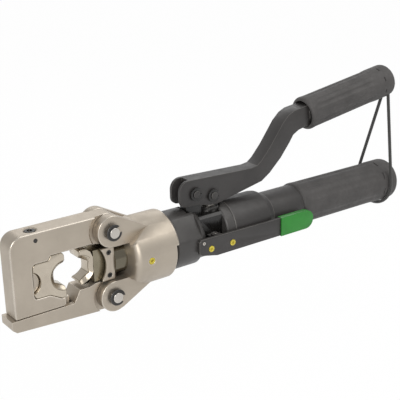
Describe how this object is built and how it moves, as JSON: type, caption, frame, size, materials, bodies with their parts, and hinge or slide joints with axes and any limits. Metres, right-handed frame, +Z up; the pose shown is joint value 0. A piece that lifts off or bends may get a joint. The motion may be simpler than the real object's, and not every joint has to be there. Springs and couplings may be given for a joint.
{
  "type": "hydraulic crimping tool",
  "caption": "Hand hydraulic crimping tool with a swivelling flip-open head, hexagonal dies, pump lever, release lever and rubber-gripped tank handle.",
  "frame": {"origin": "on the ram axis, in the plane of the head's front face", "axes": "+X along the ram axis towards the handle's end, +Z up towards the pump lever, -Y towards the release lever's side"},
  "size_m": [0.3842, 0.0542, 0.1454],
  "materials": {
    "nickel_steel": "satin nickel plating",
    "bright_steel": "ground and lightly polished",
    "dark_steel": "blackened",
    "black_metal": "satin black",
    "black_rubber": "matt",
    "seal_rubber": "smooth",
    "green_plastic": "dipped coating",
    "varnish_screw": "steel sealed with yellow varnish",
    "cord": "woven elastic"
  },
  "bodies": {
    "pump_body": {"pump_body": "black_metal", "cylinder_plug_seal": "seal_rubber", "swivel_wire_ring": "bright_steel", "plunger_gland": "dark_steel", "plunger_seal": "seal_rubber", "lever_pivot_pin": "dark_steel", "pivot_pin_clips": "dark_steel", "tank_housing": "black_metal", "tank_seal_ring": "seal_rubber", "oil_bladder": "seal_rubber", "bladder_fitting": "dark_steel", "tank_end_plug": "dark_steel", "lower_grip": "black_rubber", "release_hinge_pin": "bright_steel", "release_spring": "bright_steel", "check_balls": "bright_steel", "check_springs": "bright_steel", "passage_plugs": "dark_steel", "relief_valve_cartridge": "dark_steel", "cord_loop": "cord"},
    "head": {"fork_barrel": "nickel_steel", "barrel_lock_screw": "varnish_screw", "rod_wiper": "seal_rubber", "upper_hinge_pin": "bright_steel", "lower_hinge_pin": "bright_steel", "upper_hinge_clips": "dark_steel", "lower_hinge_clips": "dark_steel", "ram_return_spring": "bright_steel"},
    "upper_jaw": {"upper_jaw": "nickel_steel", "fixed_die": "bright_steel", "die_button_cross_pin": "dark_steel", "die_button_spring": "bright_steel"},
    "die_button": {"die_button": "dark_steel"},
    "latch_arm": {"latch_arm": "nickel_steel"},
    "ram": {"ram_piston": "bright_steel", "piston_seal": "seal_rubber", "die_holder": "nickel_steel", "ram_die": "bright_steel", "retainer_plate": "nickel_steel", "plate_screws": "dark_steel"},
    "pump_lever": {"pump_lever": "black_metal", "plunger_link_pin": "dark_steel", "link_pin_clips": "dark_steel", "upper_grip": "black_rubber", "retaining_cord": "cord"},
    "pump_plunger": {"pump_plunger": "bright_steel"},
    "release_lever": {"release_lever": "black_metal", "release_lever_tip": "green_plastic", "release_stop_screw": "varnish_screw", "release_valve_screw": "varnish_screw", "release_front_screw": "bright_steel"},
    "release_valve_pin": {"release_valve_pin": "bright_steel"}
  },
  "joints": [
    {"name": "head_swivel", "type": "hinge", "parent": "pump_body", "child": "head", "pos_m": [0.138, 0, 0], "axis": [1, 0, 0], "range_deg": [-90, 90]},
    {"name": "latch_arm_hinge", "type": "hinge", "parent": "head", "child": "latch_arm", "pos_m": [0.0779, 0, -0.0257], "axis": [0, -1, 0], "range_deg": [0, 105]},
    {"name": "upper_jaw_hinge", "type": "hinge", "parent": "head", "child": "upper_jaw", "pos_m": [0.0779, 0, 0.0257], "axis": [0, 1, 0], "range_deg": [0, 55]},
    {"name": "ram_slide", "type": "slide", "parent": "head", "child": "ram", "axis": [-1, 0, 0], "range_m": [0, 0.0117], "stiffness_N_per_m": 2500, "springref_m": -0.004, "deforming": ["ram_return_spring"]},
    {"name": "die_button_press", "type": "slide", "parent": "upper_jaw", "child": "die_button", "axis": [0, 0, -1], "range_m": [0, 0.003], "stiffness_N_per_m": 2000, "springref_m": -0.001, "deforming": ["die_button_spring"]},
    {"name": "pump_lever_hinge", "type": "hinge", "parent": "pump_body", "child": "pump_lever", "pos_m": [0.1582, 0, 0.0349], "axis": [0, -1, 0], "range_deg": [0, 50], "deforming": ["retaining_cord"]},
    {"name": "plunger_slide", "type": "slide", "parent": "pump_body", "child": "pump_plunger", "axis": [0, 0, 1], "range_m": [0, 0.0148]},
    {"name": "release_lever_hinge", "type": "hinge", "parent": "pump_body", "child": "release_lever", "pos_m": [0.167, -0.0196, 0], "axis": [0, 0, 1], "range_deg": [0, 2], "stiffness_Nm_per_rad": 2, "springref_deg": -2.86, "deforming": ["release_spring"]},
    {"name": "release_valve_slide", "type": "slide", "parent": "pump_body", "child": "release_valve_pin", "axis": [0, 1, 0], "range_m": [0, 0.00046]}
  ],
  "couplings": [
    {"joint": "upper_jaw_hinge", "follows": "latch_arm_hinge", "ratio": 0.5},
    {"joint": "plunger_slide", "follows": "pump_lever_hinge", "m_per_rad": 0.01684},
    {"joint": "release_valve_slide", "follows": "release_lever_hinge", "m_per_rad": 0.0129}
  ]
}
